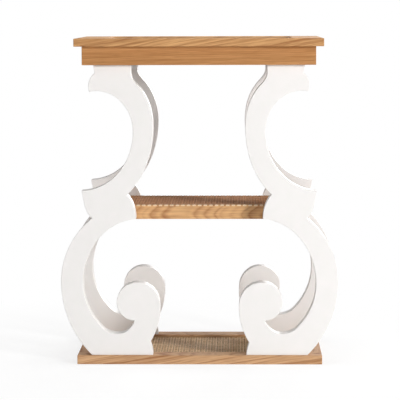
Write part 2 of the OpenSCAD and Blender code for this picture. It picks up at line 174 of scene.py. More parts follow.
# Base rails. The base is a frame of four oak boards, planed flat and lightly eased along every
# arris. The front and back boards run through, and the sides are tenoned into their grooves.
MM = 0.001
EASE = 1.2 * MM
GLUE_EASE = 0.25 * MM
SHARP_FROM = math.radians(35)
# The boards come from lengths of a log that lie this many metres apart
LOG_LENGTH = 3.7


def block(shape, low, high):
    """Adds a plain block between two corners to a mesh that is being built."""
    low, high = Vector(low), Vector(high)
    place = Matrix.Translation((low + high) / 2) @ Matrix.Diagonal((*(high - low), 1))
    bmesh.ops.create_cube(shape, size=1, matrix=place)


def worked(piece):
    """Makes the piece's modifiers part of its mesh, and shades it flat where it is flat."""
    now = bpy.context.evaluated_depsgraph_get()
    mesh = bpy.data.meshes.new_from_object(piece.evaluated_get(now))
    piece.modifiers.clear()
    piece.data = mesh
    mesh.set_sharp_from_angle(angle=SHARP_FROM)
    for face in mesh.polygons:
        square_on = max(map(abs, face.normal)) >= 0.9999
        face.use_smooth = not square_on


def carve(piece, cutter, operation="DIFFERENCE"):
    """Cuts another shape out of a piece, or joins it on."""
    tool = piece_of("cutter", cutter)
    cut = piece.modifiers.new("cut", "BOOLEAN")
    cut.operation = operation
    cut.object = tool
    worked(piece)
    bpy.data.objects.remove(tool)


def board(name, low, high, glued="", ease=EASE):
    """A planed board between two corners, its arrises eased. glued names the faces that lie against
    another board, such as 'y- y+', and round those the arrises stay nearly sharp."""
    shape = bmesh.new()
    block(shape, low, high)
    shape.normal_update()
    share = shape.edges.layers.float.new("bevel_weight_edge")
    for edge in shape.edges:
        sides = []
        for face in edge.link_faces:
            axis = max(range(3), key=lambda i: abs(face.normal[i]))
            sides.append("xyz"[axis] + ("+" if face.normal[axis] > 0 else "-"))
        edge[share] = GLUE_EASE / ease if any(side in glued.split() for side in sides) else 1.0
    piece = piece_of(name, shape)
    bevel = piece.modifiers.new("eased", "BEVEL")
    bevel.limit_method = "WEIGHT"
    bevel.width = ease
    bevel.segments = 3
    worked(piece)
    return piece


def grained(mesh, places):
    """Tells the material where each point of a mesh lies in the log or the vine."""
    grain = mesh.attributes.new("grain", "FLOAT_VECTOR", "POINT")
    grain.data.foreach_set("vector", np.array(places, np.float32).ravel())


def sawn(piece, along, heart, part, slope=0.0):
    """Gives each point of a board its place in the log, in metres: along the trunk, and across and
    up from its heart. heart is where the heart lies from the board's middle, slope how far it
    drifts up per metre, and part which length of the log the board is."""
    points = np.array([v.co for v in piece.data.vertices])
    points -= (points.min(0) + points.max(0)) / 2
    points = points[:, (0, 1, 2) if along == "x" else (1, 0, 2)]
    points[:, 2] -= heart[1] + slope * points[:, 0]
    points[:, 1] -= heart[0]
    points[:, 0] += LOG_LENGTH * part
    grained(piece.data, points)


def new_finish(name):
    """Begins a finish, and gives its material, its nodes and its shader."""
    finish = bpy.data.materials.new(name)
    finish.use_nodes = True
    return finish, finish.node_tree, finish.node_tree.nodes["Principled BSDF"]


def oak(name, pale, dark, pore, ring, wander, taper=0.0, fall=0.08):
    """Oak, planed, sanded and given a clear matt finish. Its yearly rings show as long lines, and as
    arches where the board was cut flat, and its open pores as short dark dashes along the grain.
    ring is the mean width of a year's wood and wander how far the rings sway, both in mm, and taper
    is how much the trunk thins along its length, in mm per mm. fall is the share of a ring over
    which its dark late wood gives way to the next year's pale wood."""
    finish, tree, shader = new_finish(name)
    log = add(tree, "Attribute", {"attribute_name": "grain"}).outputs["Vector"]
    # The trunk is never quite round or straight: its rings sway over 300 mm along and 60 mm across
    bends = add(tree, "Mapping", None, {"Vector": log, "Scale": (3.3, 16.0, 16.0)})
    sway = add(tree, "TexNoise", None, {"Vector": bends.outputs[0], "Scale": 1.0, "Detail": 4.0})
    shift = add(tree, "VectorMath", {"operation": "SCALE"},
                {0: sway.outputs["Color"], "Scale": 2 * wander * MM})
    bent = add(tree, "VectorMath", {"operation": "ADD"}, {0: log, 1: shift.outputs[0]})
    across = add(tree, "VectorMath", {"operation": "MULTIPLY"}, {0: bent.outputs[0], 1: (0, 1, 1)})
    radius = add(tree, "VectorMath", {"operation": "LENGTH"}, {0: across.outputs[0]})
    along = add(tree, "SeparateXYZ", None, {"Vector": log}).outputs["X"]
    grown = add(tree, "Math", {"operation": "MULTIPLY_ADD"},
                {0: along, 1: taper, 2: radius.outputs["Value"]})
    mean_years = add(tree, "Math", {"operation": "MULTIPLY"}, {0: grown.outputs[0], 1: 1 / (ring * MM)})
    # Good and lean spells of about three years make the rings wide and narrow by turns
    spells = add(tree, "TexNoise", {"noise_dimensions": "1D"}, {"W": mean_years.outputs[0], "Scale": 0.35})
    years = add(tree, "Math", {"operation": "MULTIPLY_ADD"},
                {0: spells.outputs["Fac"], 1: 3.2, 2: mean_years.outputs[0]})
    # Each ring darkens towards its late wood and then starts pale, and no two years are alike
    season = add(tree, "Math", {"operation": "FRACT"}, {0: years.outputs[0]})
    grows = add(tree, "Math", {"operation": "DIVIDE"}, {0: season.outputs[0], 1: 1 - fall})
    drops = add(tree, "Math", {"operation": "MULTIPLY_ADD"},
                {0: season.outputs[0], 1: -1 / fall, 2: 1 / fall})
    both = add(tree, "Math", {"operation": "MINIMUM"}, {0: grows.outputs[0], 1: drops.outputs[0]})
    late = add(tree, "Math", {"operation": "POWER"}, {0: both.outputs[0], 1: 1.8})
    year = add(tree, "Math", {"operation": "FLOOR"}, {0: years.outputs[0]})
    luck = add(tree, "TexWhiteNoise", {"noise_dimensions": "1D"}, {"W": year.outputs[0]})
    growth = add(tree, "MapRange", None, {"Value": luck.outputs["Value"], "To Min": 0.15})
    ringed = add(tree, "Math", {"operation": "MULTIPLY"}, {0: late.outputs[0], 1: growth.outputs[0]})
    # Groups of three or four rings are darker or paler together
    group = add(tree, "Math", {"operation": "MULTIPLY"}, {0: years.outputs[0], 1: 0.3})
    tone = add(tree, "TexNoise", {"noise_dimensions": "1D"}, {"W": group.outputs[0], "Scale": 1.0})
    toned = add(tree, "MapRange", None, {"Value": tone.outputs["Fac"], "From Min": 0.3, "From Max": 0.7})
    # Streaks along the fibres, 2.5 mm wide and 80 mm long
    fibrous = add(tree, "Mapping", None, {"Vector": log, "Scale": (12.0, 400.0, 400.0)})
    fibres = add(tree, "TexNoise", None, {"Vector": fibrous.outputs[0], "Scale": 1.0, "Detail": 2.0})
    streaks = add(tree, "MapRange", None, {"Value": fibres.outputs["Fac"], "From Min": 0.35,
                                           "From Max": 0.65, "To Min": -0.22, "To Max": 0.22})
    # Pores, drawn 1 mm wide and 30 mm long, three times as coarse as they are, so that they show
    fine = add(tree, "Mapping", None, {"Vector": log, "Scale": (33.0, 1000.0, 1000.0)})
    pores = add(tree, "TexNoise", None, {"Vector": fine.outputs[0], "Scale": 1.0, "Detail": 2.0})
    pored = add(tree, "MapRange", None, {"Value": pores.outputs["Fac"], "From Min": 0.5, "From Max": 0.72})
    # They are darkest in the late wood
    deep = add(tree, "Math", {"operation": "MULTIPLY_ADD"}, {0: ringed.outputs[0], 1: 0.5, 2: 0.25})
    mark = add(tree, "Math", {"operation": "MULTIPLY"}, {0: pored.outputs[0], 1: deep.outputs[0]})
    # Rings, groups and streaks together say how dark the wood is, and the pores mark it
    body = add(tree, "Math", {"operation": "MULTIPLY_ADD"},
               {0: toned.outputs[0], 1: 0.45, 2: streaks.outputs[0]})
    body = add(tree, "Math", {"operation": "MULTIPLY_ADD", "use_clamp": True},
               {0: ringed.outputs[0], 1: 0.75, 2: body.outputs[0]})
    wood = add(tree, "Mix", {"data_type": "RGBA"},
               {0: body.outputs[0], 6: linear(pale), 7: linear(dark)})
    skin = add(tree, "Mix", {"data_type": "RGBA"},
               {0: mark.outputs[0], 6: wood.outputs[2], 7: linear(pore)})
    tree.links.new(skin.outputs[2], shader.inputs["Base Color"])
    sheen = add(tree, "MapRange", None, {"Value": pores.outputs["Fac"], "To Min": 0.62, "To Max": 0.76})
    tree.links.new(sheen.outputs[0], shader.inputs["Roughness"])
    relief = add(tree, "Bump", None, {"Height": pores.outputs["Fac"], "Strength": 0.25,
                                      "Distance": 0.2 * MM})
    tree.links.new(relief.outputs[0], shader.inputs["Normal"])
    shader.inputs["IOR"].default_value = 1.5
    shader.inputs["Specular IOR Level"].default_value = 0.4
    return finish


def turned(shape, profile, place=None, sides=24):
    """Adds a turned solid. profile is a row of (radius, height), and place is where its foot goes and
    which way it points."""
    turns = [2 * math.pi * k / sides for k in range(sides)]
    rings = []
    for radius, height in profile:
        spots = [Vector((radius * math.cos(turn), radius * math.sin(turn), height)) for turn in turns]
        rings.append([shape.verts.new(place @ spot if place else spot) for spot in spots])
    for lower, upper in zip(rings, rings[1:]):
        for k in range(sides):
            n = (k + 1) % sides
            shape.faces.new((lower[k], lower[n], upper[n], upper[k]))
    shape.faces.new(rings[0][::-1])
    shape.faces.new(rings[-1])


GROOVE_DEPTH = 6 * MM
GROOVE_STOP = 12 * MM
FIT = 0.15 * MM
TENON_LENGTH = GROOVE_DEPTH - FIT
HEAD_R = 4.5 * MM
SHANK_R = 2.25 * MM
SCREW_LENGTH = 45 * MM
SCREW_SINK = 5 * MM
BORE_OVER = 1 * MM
# A bore starts outside the wood, and has a cone for the head at 45 degrees and a hole for the shank
BORE = [(HEAD_R + FIT, -SCREW_SINK - BORE_OVER), (HEAD_R + FIT, 0),
        (SHANK_R + FIT, HEAD_R - SHANK_R), (SHANK_R + FIT, SCREW_LENGTH + FIT)]
FOOT_IN = 109.5 * MM
FOOT_W = 143 * MM
FOOT_SCREW_INSET = 32 * MM
FOOT_SCREW_X = (FOOT_IN + FOOT_SCREW_INSET, FOOT_IN + FOOT_W - FOOT_SCREW_INSET)
leg_low, leg_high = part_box("leg_back_right")
FOOT_SCREW_Y = (leg_low.y + leg_high.y) / 2

base_oak = oak("matt_oak_base", "#D9AE83", "#A26F44", "#7E5530", ring=7.0, wander=14, fall=0.25)


def bored(piece, places):
    """Bores a piece for countersunk screws. Each place puts the face of a screw's head."""
    cutter = bmesh.new()
    for place in places:
        turned(cutter, BORE, place)
    carve(piece, cutter)


def through_rail(node, panel_node, back):
    """A front or back rail: it runs from side to side, with a stopped groove in its inner edge."""
    low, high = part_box(node)
    panel_low, panel_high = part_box(panel_node)
    inner = low.y if back else high.y
    rail = board(node + "_board", low, high)
    groove = bmesh.new()
    block(groove, (low.x + GROOVE_STOP, inner - GROOVE_DEPTH, panel_low.z),
          (high.x - GROOVE_STOP, inner + GROOVE_DEPTH, panel_high.z))
    carve(rail, groove)
    return rail


def side_rail(node, panel_node, left):
    """A left or right rail: it lies between the other two, with a stub tenon at each end."""
    low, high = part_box(node)
    panel_low, panel_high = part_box(panel_node)
    shoulder = Vector((0, TENON_LENGTH, 0))
    rail = board(node + "_board", low + shoulder, high - shoulder, glued="y- y+")
    outer, inner = (low.x, high.x) if left else (high.x, low.x)
    way = 1 if left else -1
    across = sorted((outer + way * (GROOVE_STOP + FIT), inner - way * GROOVE_DEPTH))
    tenons = bmesh.new()
    block(tenons, (across[0], low.y, panel_low.z + FIT), (across[1], high.y, panel_high.z - FIT))
    carve(rail, tenons, "UNION")
    groove = bmesh.new()
    block(groove, (inner - GROOVE_DEPTH, low.y - GROOVE_DEPTH, panel_low.z),
          (inner + GROOVE_DEPTH, high.y + GROOVE_DEPTH, panel_high.z))
    carve(rail, groove)
    return rail


for end, back in (("front", False), ("back", True)):
    node = "base_" + end + "_rail"
    rail = through_rail(node, "base_panel", back)
    y = FOOT_SCREW_Y if back else -FOOT_SCREW_Y
    bored(rail, [Matrix.Translation((side * x, y, SCREW_SINK))
                 for side in (-1, 1) for x in FOOT_SCREW_X])
    sawn(rail, "x", heart=(0.012, -0.055), slope=0.17, part=2 + back)
    rail.data.materials.append(base_oak)
    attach(rail, "root")
    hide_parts(node)
for side, left in (("left", True), ("right", False)):
    node = "base_" + side + "_rail"
    rail = side_rail(node, "base_panel", left)
    sawn(rail, "y", heart=(0.02, -0.06), slope=0.03, part=4 + left)
    rail.data.materials.append(base_oak)
    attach(rail, "root")
    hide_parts(node)

# Panels. Under each sheet of cane lies a thin plywood panel, stained brown so that the weave
# stands out. On the base and the tray it is held in the rails' grooves, on the shelf by a step.
panel_stain, tree, shader = new_finish("brown_stained_plywood")
where = add(tree, "TexCoord").outputs["Object"]
# The face veneer's figure: streaks 3 mm wide and 90 mm long, and tones that change every 110 mm
streaky = add(tree, "Mapping", None, {"Vector": where, "Scale": (11.0, 330.0, 330.0)})
streaks = add(tree, "TexNoise", None, {"Vector": streaky.outputs[0], "Scale": 1.0, "Detail": 3.0})
cloudy = add(tree, "TexNoise", None, {"Vector": where, "Scale": 9.0, "Detail": 2.0})
both = add(tree, "Math", {"operation": "MULTIPLY_ADD"},
           {0: cloudy.outputs["Fac"], 1: 0.5, 2: streaks.outputs["Fac"]})
spread = add(tree, "MapRange", None, {"Value": both.outputs[0], "From Min": 0.5, "From Max": 1.0})
stain = add(tree, "Mix", {"data_type": "RGBA"},
            {0: spread.outputs[0], 6: linear("#4A3120"), 7: linear("#634529")})
tree.links.new(stain.outputs[2], shader.inputs["Base Color"])
shader.inputs["Roughness"].default_value = 0.62
relief = add(tree, "Bump", None, {"Height": streaks.outputs["Fac"], "Strength": 0.2,
                                  "Distance": 0.2 * MM})
tree.links.new(relief.outputs[0], shader.inputs["Normal"])
for level in ("base", "shelf", "tray"):
    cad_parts[level + "_panel"].data.materials.clear()
    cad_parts[level + "_panel"].data.materials.append(panel_stain)

# Cane. Each sheet is six-way webbing with a half-inch mesh: strands in pairs both ways and single
# ones both ways across, plaited over and under, with eight-sided holes between them.
MESH_PITCH = 13.2 * MM
PAIR_APART = 5.6 * MM
STRAND_W = 2.5 * MM
STRAND_T = 0.6 * MM
STRAND_VARIES = (0.92, 1.06)
STRAND_STRAYS = 0.12 * MM
# Plaiting lifts the strands by parts of this step
STRAND_STEP = 0.42 * MM
CROSS_STRAND_W = 0.95 * STRAND_W
# The strands come from stretches of vine up to this many metres apart
VINE_LENGTH = 7.0
# On the shelf the strands go on over the reed and the rail and are turned down over the arris. Their
# way there is a row of (distance out from the sheet's edge, height from the rails' top face).
SHELF_LAP = [(-1.5 * MM, -0.4 * MM), (0.8 * MM, 0.1 * MM), (5 * MM, 0.15 * MM), (9 * MM, 0.1 * MM),
             (9.5 * MM, -0.1 * MM), (9.9 * MM, -0.5 * MM), (10.1 * MM, -1.1 * MM), (10.1 * MM, -3 * MM)]
# This many points at each end of a lapped strand are painted pale, a painted highlight on the bend
LAP_PAINTED_LIT = 4
SHELF_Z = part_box("shelf_front_rail")[1].z


def strand(points, width, tone, lists, lit_ends=0):
    """Adds one strand to the lists: a flat band with a crowned top that follows the points. tone is
    its shade, and lit_ends is how many points at either end are painted pale, a painted highlight."""
    places, faces, grain = lists
    first, count = len(places), len(points)
    run = np.gradient(points, axis=0)
    run /= np.linalg.norm(run, axis=1)[:, None]
    side = np.cross(points[-1] - points[0], (0, 0, 1))
    side /= np.linalg.norm(side)
    ups = np.cross(side, run)
    far = np.concatenate([[0], np.cumsum(np.linalg.norm(np.diff(points, axis=0), axis=1))])
    half = width / 2
    section = ((-half, 0.0), (-0.5 * half, STRAND_T), (0.5 * half, STRAND_T), (half, 0.0))
    for k, at in enumerate(points):
        # Points near the ends get a tone below zero, which the cane material paints pale as a painted
        # highlight
        wear_and_painted_highlight = k < lit_ends or k >= count - lit_ends
        for across, up in section:
            places.append(at + across * side + up * ups[k])
            grain.append((far[k] + VINE_LENGTH * tone, across, -1.0 if wear_and_painted_highlight else tone))
    for k in range(count - 1):
        for j in range(4):
            a, b = first + 4 * k + j, first + 4 * k + (j + 1) % 4
            faces.append((a, b, b + 4, a + 4))
    faces.append((first + 3, first + 2, first + 1, first))
    last = first + 4 * (count - 1)
    faces.append((last, last + 1, last + 2, last + 3))


def paired_strands(axis, low, high, picks, lists, lap=()):
    """Adds the strands that lie in pairs along one axis of a sheet. Where a lap is given, they go on
    that way at both ends, and a loose strand lies between the two of each pair."""
    other = 1 - axis
    middle, half = (low + high) / 2, (high - low) / 2
    reach, width = half[axis], half[other]
    # A strand has a point every quarter of a mesh, and one at each edge
    quarter = MESH_PITCH / 4
    stops = np.arange(-int(reach / quarter), int(reach / quarter) + 1) * quarter
    stops = np.concatenate([[-reach], stops[np.abs(stops) < reach - 0.2 * quarter], [reach]])
    pairs = int(width / MESH_PITCH) + 1
    for k in range(-pairs, pairs + 1):
        for twin in (-1, 1):
            offset = k * MESH_PITCH + twin * PAIR_APART / 2
            if abs(offset) > width - STRAND_W / 2:
                continue
            # Where one of the two goes over, the other goes under
            wave = np.cos(2 * math.pi * stops / MESH_PITCH) * twin * (1 if axis else -1)
            points = np.zeros((len(stops), 3))
            points[:, axis] = stops + middle[axis]
            points[:, other] = offset + middle[other] + picks.normal(0, STRAND_STRAYS)
            points[:, 2] = low.z + STRAND_STEP * (0.7 + 0.7 * wave)
            if lap:
                x, front, back = points[0, 0], points[0, 1], points[-1, 1]
                before = [[x, front - out, SHELF_Z + rise] for out, rise in lap[::-1]]
                after = [[x, back + out, SHELF_Z + rise] for out, rise in lap]
                points = np.concatenate([before, points[1:-1], after])
            strand(points, STRAND_W * picks.uniform(*STRAND_VARIES), picks.random(), lists,
                   lit_ends=LAP_PAINTED_LIT if lap else 0)
            if lap and twin == 1:
                for way in (before[:-1], after[1:]):
                    loose = np.array(way) - (PAIR_APART / 2, 0, 0)
                    strand(loose, PAIR_APART - STRAND_W, picks.random(), lists,
                           lit_ends=LAP_PAINTED_LIT - 1)


def cross_strands(way, low, high, picks, lists):
    """Adds the single strands that cross a sheet aslant, to the right (1) or to the left (-1)."""
    middle, half = (low + high) / 2, (high - low) / 2
    quarter = MESH_PITCH / 4
    count = int((half.x + half.y) / MESH_PITCH) + 1
    for k in range(-count, count + 1):
        # Each lies on the line y = way * x + shift, and is cut off at the sheet's edges
        shift = k * MESH_PITCH
        ends = sorted(((-half.y - shift) * way, (half.y - shift) * way))
        start, stop = max(-half.x, ends[0]), min(half.x, ends[1])
        if stop - start < 2 * STRAND_W:
            continue
        stops = np.arange(math.ceil(start / quarter), int(stop / quarter) + 1) * quarter
        stops = stops[(stops > start + 0.2 * quarter) & (stops < stop - 0.2 * quarter)]
        stops = np.concatenate([[start], stops, [stop]])
        wave = np.cos(4 * math.pi * stops / MESH_PITCH) * way
        points = np.zeros((len(stops), 3))
        points[:, 0] = stops + middle.x
        points[:, 1] = way * stops + shift + middle.y
        points[:, 2] = low.z + STRAND_STEP * (0.8 + 0.4 * wave)
        strand(points, CROSS_STRAND_W, picks.random(), lists)


def webbing(name, low, high, seed, lap=()):
    """A sheet of six-way cane webbing between two corners. A lap is how the strands that run from
    front to back go on over the frame."""
    picks = np.random.default_rng(seed)
    lists = ([], [], [])
    paired_strands(0, low, high, picks, lists)
    paired_strands(1, low, high, picks, lists, lap)
    for way in (1, -1):
        cross_strands(way, low, high, picks, lists)
    places, faces, grain = lists
    mesh = bpy.data.meshes.new(name)
    mesh.from_pydata([tuple(p) for p in places], [], faces)
    mesh.polygons.foreach_set("use_smooth", [True] * len(faces))
    grained(mesh, grain)
    mesh.update()
    sheet = bpy.data.objects.new(name, mesh)
    bpy.context.scene.collection.objects.link(sheet)
    return sheet


def cane(name, pale, dark, line, gloss):
    """The hard outer skin of rattan, split and left natural: a soft sheen and fine lines along each
    strand. gloss is how strongly it reflects."""
    finish, tree, shader = new_finish(name)
    log = add(tree, "Attribute", {"attribute_name": "grain"}).outputs["Vector"]
    parts = add(tree, "SeparateXYZ", None, {"Vector": log})
    # Fibres 0.4 mm wide and 40 mm long
    fine = add(tree, "Mapping", None, {"Vector": log, "Scale": (25.0, 2500.0, 1.0)})
    fibre = add(tree, "TexNoise", None, {"Vector": fine.outputs[0], "Scale": 1.0, "Detail": 2.0})
    # Each strand has its own shade, which drifts every 70 mm along it
    slow = add(tree, "Mapping", None, {"Vector": log, "Scale": (14.0, 0.0, 40.0)})
    drift = add(tree, "TexNoise", None, {"Vector": slow.outputs[0], "Scale": 1.0, "Detail": 1.0})
    mixed = add(tree, "Math", {"operation": "MULTIPLY_ADD"},
                {0: parts.outputs["Z"], 1: 0.35, 2: drift.outputs["Fac"]})
    shade = add(tree, "MapRange", None, {"Value": mixed.outputs[0], "From Min": 0.4, "From Max": 1.0})
    tan = add(tree, "Mix", {"data_type": "RGBA"},
              {0: shade.outputs[0], 6: linear(pale), 7: linear(dark)})
    lines = add(tree, "MapRange", None, {"Value": fibre.outputs["Fac"], "From Min": 0.45,
                                         "From Max": 0.8, "To Max": 0.5})
    peel = add(tree, "Mix", {"data_type": "RGBA"},
               {0: lines.outputs[0], 6: tan.outputs[2], 7: linear(line)})
    # A strand bent over an arris has a tone below zero there and is painted pale: a painted
    # highlight where the bend catches the light
    bent = add(tree, "MapRange", None, {"Value": parts.outputs["Z"], "To Min": 1.0, "From Min": -1.0,
                                        "From Max": 0.0, "To Max": 0.0})
    peel = add(tree, "Mix", {"data_type": "RGBA"},
               {0: bent.outputs[0], 6: peel.outputs[2], 7: linear("#F3DDBC")})
    tree.links.new(peel.outputs[2], shader.inputs["Base Color"])
    relief = add(tree, "Bump", None, {"Height": fibre.outputs["Fac"], "Strength": 0.25,
                                      "Distance": 0.15 * MM})
    tree.links.new(relief.outputs[0], shader.inputs["Normal"])
    shader.inputs["Roughness"].default_value = 0.58
    shader.inputs["IOR"].default_value = 1.48
    shader.inputs["Specular IOR Level"].default_value = gloss
    return finish


natural_cane = cane("natural_cane_skin", "#F3D4A6", "#BA8A5A", "#7A5336", gloss=0.4)
# The shelf's cane is a darker, browner copy of the same cane, painted shade for the tray above it,
# and has hardly any sheen
shade_darkened_cane = cane("shade_darkened_cane_skin", "#DCA880", "#B88159", "#8A5B3B", gloss=0.05)
for seed, level in enumerate(("base", "shelf", "tray")):
    node = level + "_cane"
    low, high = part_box(node)
    sheet = webbing(level + "_cane_webbing", low, high, seed, SHELF_LAP if level == "shelf" else ())
    sheet.data.materials.append(shade_darkened_cane if level == "shelf" else natural_cane)
    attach(sheet, "root")
    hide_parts(node)

# Reeds. A length of split reed, round on top, is pressed in along each side of the cane and mitred
# at the corners. It holds the sheet down and covers its edge, apart from the strands on the shelf
# that are carried on over it.
REED_W = 4 * MM
REED_DOME = REED_W / 4
REED_SHARP_FROM = math.radians(40)


def reed(shape, start, stop, inward, height, grain):
    """Adds one length of reed, mitred at both ends, whose outer line runs from start to stop."""
    along = (stop - start).normalized()
    angles = [math.radians(a) for a in range(0, 181, 15)]
    dome = [(REED_W / 2 * (1 - math.cos(a)), REED_DOME * math.sin(a)) for a in angles]
    outline = [(0.0, 0.0)] + [(x, height - REED_DOME + z) for x, z in dome] + [(REED_W, 0.0)]
    # Each length has its own stretch of the reed's fibres
    stretch = 5 * start.x
    rings = []
    for place, way in ((start, 1), (stop, -1)):
        ring = [place + inward * x + along * way * x + Vector((0, 0, z)) for x, z in outline]
        rings.append([shape.verts.new(p) for p in ring])
        grain.extend(((p - start).dot(along) + stretch, (p - start).dot(inward), p.z) for p in ring)
    count = len(outline)
    for k in range(count):
        n = (k + 1) % count
        shape.faces.new((rings[0][k], rings[0][n], rings[1][n], rings[1][k]))
    shape.faces.new(rings[0][::-1])
    shape.faces.new(rings[1])


reed_skin, tree, shader = new_finish("split_reed")
log = add(tree, "Attribute", {"attribute_name": "grain"}).outputs["Vector"]
# Reed fibres 0.5 mm wide, and a shade that drifts every 80 mm
fine = add(tree, "Mapping", None, {"Vector": log, "Scale": (30.0, 2000.0, 2000.0)})
fibre = add(tree, "TexNoise", None, {"Vector": fine.outputs[0], "Scale": 1.0, "Detail": 2.0})
slow = add(tree, "TexNoise", None, {"Vector": log, "Scale": 12.0, "Detail": 2.0})
mixed = add(tree, "Math", {"operation": "MULTIPLY_ADD"},
            {0: fibre.outputs["Fac"], 1: 0.6, 2: slow.outputs["Fac"]})
shade = add(tree, "MapRange", None, {"Value": mixed.outputs[0], "From Min": 0.5, "From Max": 1.1})
straw = add(tree, "Mix", {"data_type": "RGBA"},
            {0: shade.outputs[0], 6: linear("#B58C5E"), 7: linear("#8B663F")})
tree.links.new(straw.outputs[2], shader.inputs["Base Color"])
shader.inputs["Roughness"].default_value = 0.48
relief = add(tree, "Bump", None, {"Height": fibre.outputs["Fac"], "Strength": 0.3,
                                  "Distance": 0.2 * MM})
tree.links.new(relief.outputs[0], shader.inputs["Normal"])

for level in ("base", "shelf", "tray"):
    node = level + "_spline"
    low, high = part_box(node)
    shape = bmesh.new()
    grain = []
    corners = [Vector((low.x, low.y, low.z)), Vector((high.x, low.y, low.z)),
               Vector((high.x, high.y, low.z)), Vector((low.x, high.y, low.z))]
    for k, inward in enumerate(((0, 1, 0), (-1, 0, 0), (0, -1, 0), (1, 0, 0))):
        reed(shape, corners[k], corners[(k + 1) % 4], Vector(inward), high.z - low.z, grain)
    bmesh.ops.recalc_face_normals(shape, faces=shape.faces)
    reeds = piece_of(level + "_reeds", shape)
    for face in reeds.data.polygons:
        face.use_smooth = True
    reeds.data.set_sharp_from_angle(angle=REED_SHARP_FROM)
    grained(reeds.data, grain)
    reeds.data.materials.append(reed_skin)
    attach(reeds, "root")
    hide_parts(node)

# Legs. Each is one 38 mm board, sawn to a run of scrolls, with its arrises rounded over, then
# primed and painted satin white. Its foot is screwed to the base and its top to the apron.
TRAY_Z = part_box("tray_front_rail")[0].z
APRON_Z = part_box("apron_front")[0].z
SHELF_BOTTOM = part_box("shelf_front_rail")[0].z
BASE_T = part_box("base_front_rail")[1].z
LEG_REACH = leg_high.x
LEG_BACK = leg_low.y
# An IN or OUT is a distance from the table's middle, a W or BAND a width, and an H, DROP, RISE or
# LIFT a height. A SHARE is how far up a place lies between two others.
TAB_IN = 158 * MM
TAB_W = 87 * MM
TAB_OUT = TAB_IN + TAB_W
TAB_SCREW_INSET = 22 * MM
SHOULDER_W = 3 * MM
SHOULDER_DROP = 18.5 * MM
BOW_W = 19 * MM
BOW_DROP = 32 * MM
EAR_OUT = 255 * MM
EAR_DROP = 62 * MM
UPPER_IN = 107 * MM
UPPER_BAND = 47 * MM
UPPER_SHARE = 0.6
UPPER_LIFT = 11 * MM
SPUR_W = 50 * MM
SPUR_RISE = 38 * MM
INNER_SPUR_W = 20 * MM
INNER_SPUR_RISE = 28.5 * MM
WAIST_IN = 148 * MM
WAIST_W = 102.5 * MM
CORNER_RISE = 6 * MM
NOTCH_RISE = 1 * MM
LOWER_BAND = 51.5 * MM
LOWER_SHARE = 0.53
LOWER_LIFT = 2 * MM
FOOT_H = 50.5 * MM
FLOOR_W = 41 * MM
TURN_W = 36 * MM
TURN_RISE = 12 * MM
SCROLL_IN = 149 * MM
SCROLL_RISE = 121 * MM
SCROLL_HOOK = 39.5 * MM
SCROLL_NECK = 56.5 * MM
HOOK_TURN = 85
NECK_W = 6.5 * MM
NECK_RISE = 30 * MM
CURVE_STEPS = 20
ROUND_OVER = 1.2 * MM
ROUND_STEPS = 4
LEAST_LEAN = 0.35


def unit(a):
    """The direction at that many degrees from the level."""
    return np.array([math.cos(math.radians(a)), math.sin(math.radians(a))])


def bend(p, pa, q, qa):
    """The points of one smooth curve from p, left at the angle pa, to q, reached at the angle qa. Its
    handles are as long as a round arc's, or a third of the way where it is straight."""
    p, q = np.array(p, float), np.array(q, float)
    turn = math.radians(abs(qa - pa))
    share = 1 / 3 if turn < 0.02 else 4 / 3 * math.tan(turn / 4) / (2 * math.sin(turn / 2))
    handle = share * np.linalg.norm(q - p)
    a, b = p + handle * unit(pa), q - handle * unit(qa)
    t = (np.arange(CURVE_STEPS) / CURVE_STEPS)[:, None]
    s = 1 - t
    return list(s ** 3 * p + 3 * s * s * t * a + 3 * s * t * t * b + t ** 3 * q)


def edge_through(knots):
    """The curves through a row of knots: place and angle, or place and the angles before and after."""
    edge = []
    for knot, following in zip(knots, knots[1:]):
        edge += bend(knot[0], knot[-1], following[0], following[1])
    return edge


# The places on the right-hand leg, from its top down
shoulder_in = (TAB_IN, APRON_Z - SHOULDER_DROP)
shoulder_out = (TAB_OUT - SHOULDER_W, APRON_Z - SHOULDER_DROP)
bow_in = (TAB_IN - BOW_W, shoulder_in[1] - BOW_DROP)
ear_tip = (EAR_OUT, APRON_Z - EAR_DROP)
spur_out = (LEG_REACH - SPUR_W, SHELF_Z + SPUR_RISE)
spur_in = (WAIST_IN + INNER_SPUR_W, SHELF_Z + INNER_SPUR_RISE)
upper_mid = spur_out[1] + UPPER_SHARE * (ear_tip[1] - spur_out[1])
upper_inmost = (UPPER_IN, upper_mid + UPPER_LIFT)
upper_hollow = (UPPER_IN + UPPER_BAND, upper_mid)
waist_corner = (WAIST_IN, SHELF_BOTTOM + CORNER_RISE)
waist_notch = (WAIST_IN + WAIST_W, waist_corner[1] + NOTCH_RISE)
lower_mid = BASE_T + LOWER_SHARE * (waist_notch[1] - BASE_T)
lower_outmost = (LEG_REACH, lower_mid + LOWER_LIFT)
lower_hollow = (LEG_REACH - LOWER_BAND, lower_mid - LOWER_LIFT)
hollow_floor = (SCROLL_IN + FLOOR_W, BASE_T + FOOT_H)
hollow_turn = (hollow_floor[0] + TURN_W, hollow_floor[1] + TURN_RISE)
scroll = np.array([SCROLL_IN, BASE_T + SCROLL_RISE])
neck = (FOOT_IN + NECK_W, BASE_T + NECK_RISE)
foot_inner = (FOOT_IN, BASE_T)
foot_outer = (FOOT_IN + FOOT_W, BASE_T)

inner_edge = edge_through([
    (shoulder_in, -90), (bow_in, -131), (upper_inmost, -90), (spur_in, -44, -132),
    (waist_corner, -90, -6), (lower_hollow, -90), (hollow_turn, -136), (hollow_floor, -180),
    (scroll + SCROLL_HOOK * unit(-HOOK_TURN), -250),
])
